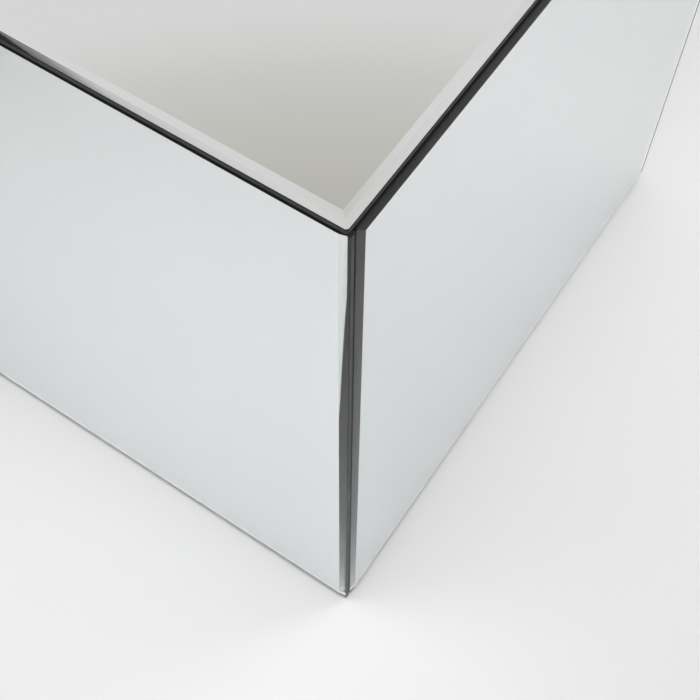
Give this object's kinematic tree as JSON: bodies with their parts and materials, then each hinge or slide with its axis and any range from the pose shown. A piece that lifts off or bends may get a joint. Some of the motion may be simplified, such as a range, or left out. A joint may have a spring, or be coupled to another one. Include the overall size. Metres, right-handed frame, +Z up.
{
  "type": "mirrored cube side table",
  "caption": "Cube side table or plinth of boards on glides, clad on its top and sides with bevelled mirrors bonded by tape and adhesive.",
  "frame": {"origin": "centre of the footprint on the floor, under the feet", "axes": "+Z up through the top mirror, -Y towards the front mirror, +X to the right as seen from the front"},
  "size_m": [0.4, 0.4, 0.4],
  "materials": {
    "mirror_glass": "polished silvered float glass with a faint green tint",
    "foam_tape": "matt grey-black foam",
    "adhesive": "cured off-white polymer, slightly glossy",
    "painted_board": "fibreboard painted matt black",
    "pine": "planed pine, unfinished",
    "beech": "turned beech, unfinished",
    "zinc_plated_steel": "zinc plated, satin",
    "glide_plastic": "black moulded plastic, lightly textured"
  },
  "bodies": {
    "root": {"top_mirror": "mirror_glass", "front_mirror": "mirror_glass", "back_mirror": "mirror_glass", "left_mirror": "mirror_glass", "right_mirror": "mirror_glass", "top_mirror_tape": "foam_tape", "front_mirror_tape": "foam_tape", "back_mirror_tape": "foam_tape", "left_mirror_tape": "foam_tape", "right_mirror_tape": "foam_tape", "top_mirror_adhesive": "adhesive", "front_mirror_adhesive": "adhesive", "back_mirror_adhesive": "adhesive", "left_mirror_adhesive": "adhesive", "right_mirror_adhesive": "adhesive", "top_board": "painted_board", "base_board": "painted_board", "front_board": "painted_board", "back_board": "painted_board", "left_board": "painted_board", "right_board": "painted_board", "corner_block_front_left": "pine", "corner_block_front_right": "pine", "corner_block_back_left": "pine", "corner_block_back_right": "pine", "batten_front": "pine", "batten_back": "pine", "batten_left": "pine", "batten_right": "pine", "wall_dowels": "beech", "top_dowels": "beech", "batten_screws": "zinc_plated_steel", "base_screws": "zinc_plated_steel", "foot_front_left": "glide_plastic", "foot_front_right": "glide_plastic", "foot_back_left": "glide_plastic", "foot_back_right": "glide_plastic", "foot_screws": "zinc_plated_steel"}
  },
  "joints": []
}
